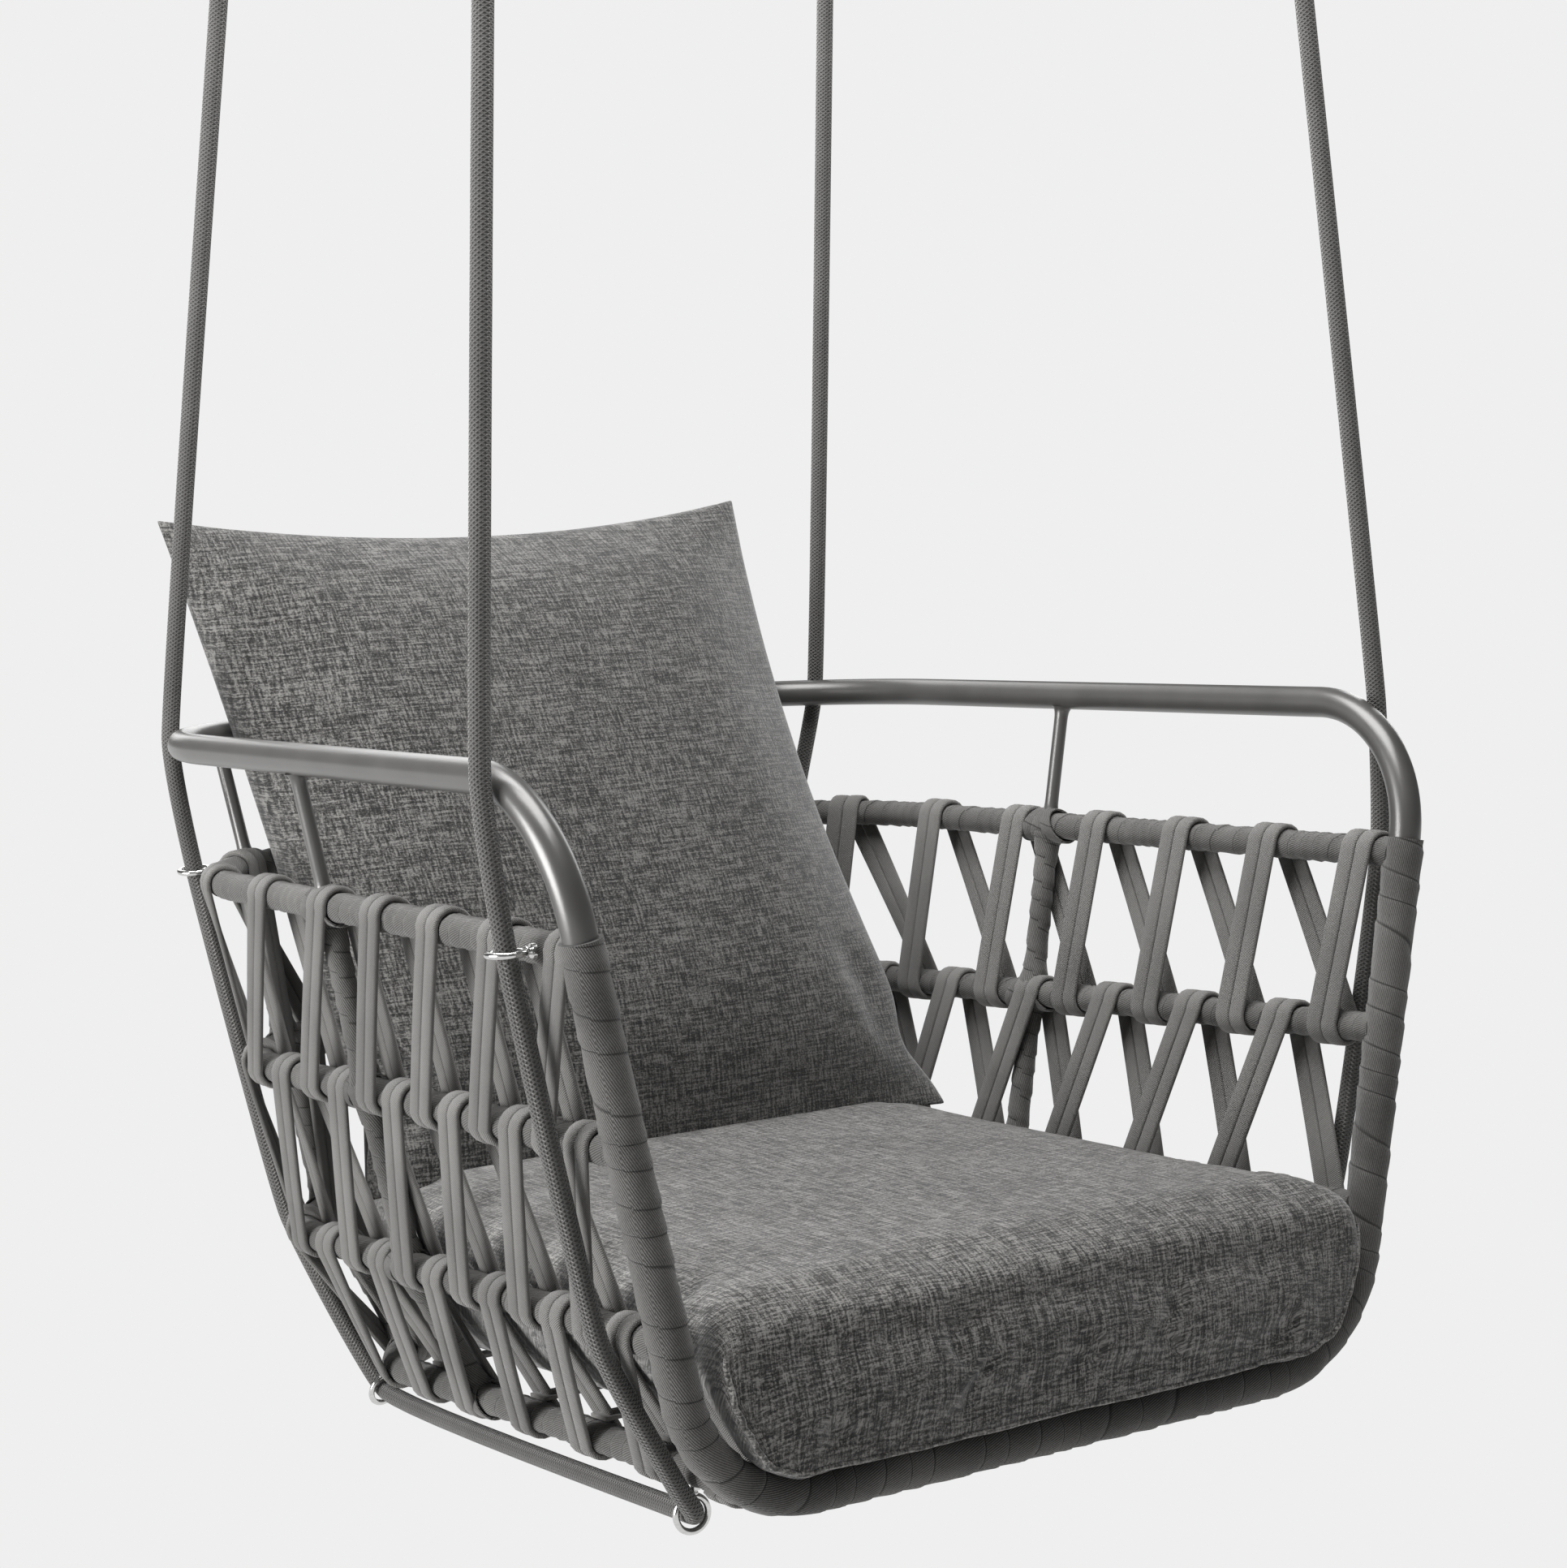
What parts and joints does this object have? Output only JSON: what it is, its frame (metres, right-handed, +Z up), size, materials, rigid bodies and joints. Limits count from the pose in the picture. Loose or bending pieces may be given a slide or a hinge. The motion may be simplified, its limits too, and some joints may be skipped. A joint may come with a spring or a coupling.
{
  "type": "hanging rope swing chair",
  "caption": "Seat swing with a tubular frame, strap-woven sides, a seat cushion and a back pillow, hung from the ceiling by four ropes.",
  "frame": {"origin": "on the ceiling plane, midway between the four hangers", "axes": "+Z up; the chair faces -Y; +X is the sitter's left"},
  "size_m": [0.8342, 0.9443, 1.3828],
  "materials": {
    "frame_paint": "satin anthracite powder coat",
    "strap": "woven warm grey strap",
    "rope": "braided dark grey rope",
    "cushion_fabric": "slubbed melange upholstery fabric",
    "stainless": "polished stainless steel"
  },
  "bodies": {
    "chair": {"back_pillow": "cushion_fabric", "bottom_rail": "frame_paint", "bottom_rail_wrap": "strap", "corner_post_lower_left": "strap", "corner_post_lower_right": "strap", "corner_post_middle_left": "strap", "corner_post_middle_right": "strap", "corner_post_upper_left": "strap", "corner_post_upper_right": "strap", "corner_strut_left": "frame_paint", "corner_strut_right": "frame_paint", "deck_strap_1": "strap", "deck_strap_2": "strap", "deck_strap_3": "strap", "deck_strap_4": "strap", "eye_bolt_lower_front_left": "stainless", "eye_bolt_lower_front_right": "stainless", "eye_bolt_lower_rear_left": "stainless", "eye_bolt_lower_rear_right": "stainless", "eye_bolt_upper_front_left": "stainless", "eye_bolt_upper_front_right": "stainless", "eye_bolt_upper_rear_left": "stainless", "eye_bolt_upper_rear_right": "stainless", "front_hoop": "frame_paint", "front_hoop_wrap": "strap", "lower_rail": "frame_paint", "lower_rail_wrap": "strap", "mid_post_lower_left": "strap", "mid_post_lower_right": "strap", "mid_post_middle_left": "strap", "mid_post_middle_right": "strap", "mid_post_upper_left": "strap", "mid_post_upper_right": "strap", "mid_strut_left": "frame_paint", "mid_strut_right": "frame_paint", "middle_rail": "frame_paint", "middle_rail_wrap": "strap", "rope_sling_left": "rope", "rope_sling_right": "rope", "seat_cushion": "cushion_fabric", "top_rail": "frame_paint", "upper_rail": "frame_paint", "upper_rail_wrap": "strap", "weave_lower_row": "strap", "weave_middle_row": "strap", "weave_upper_row": "strap"},
    "ceiling": {"ceiling_hanger_front_left": "stainless", "ceiling_hanger_front_right": "stainless", "ceiling_hanger_rear_left": "stainless", "ceiling_hanger_rear_right": "stainless"},
    "front_ropes": {"rope_span_front_left": "rope", "rope_span_front_right": "rope", "rope_terminal_front_left": "stainless", "rope_terminal_front_right": "stainless"},
    "rear_ropes": {"rope_span_rear_left": "rope", "rope_span_rear_right": "rope", "rope_terminal_rear_left": "stainless", "rope_terminal_rear_right": "stainless"}
  },
  "joints": [
    {"name": "front_rope_swing", "type": "hinge", "parent": "ceiling", "child": "front_ropes", "pos_m": [0, -0.27573, -0.039], "axis": [1, 0, 0], "range_deg": [-10, 10]},
    {"name": "chair_swing", "type": "hinge", "parent": "front_ropes", "child": "chair", "pos_m": [0, -0.35147, -0.75628], "axis": [1, 0, 0], "range_deg": [-7.9, 7.9]},
    {"name": "rear_rope_swing", "type": "hinge", "parent": "chair", "child": "rear_ropes", "pos_m": [0, 0.35773, -0.8126], "axis": [1, 0, 0], "range_deg": [-7.3, 7.3]}
  ],
  "couplings": [
    {"joint": "chair_swing", "follows": "front_rope_swing", "ratio": -0.7842},
    {"joint": "rear_rope_swing", "follows": "front_rope_swing", "ratio": 0.7271}
  ]
}
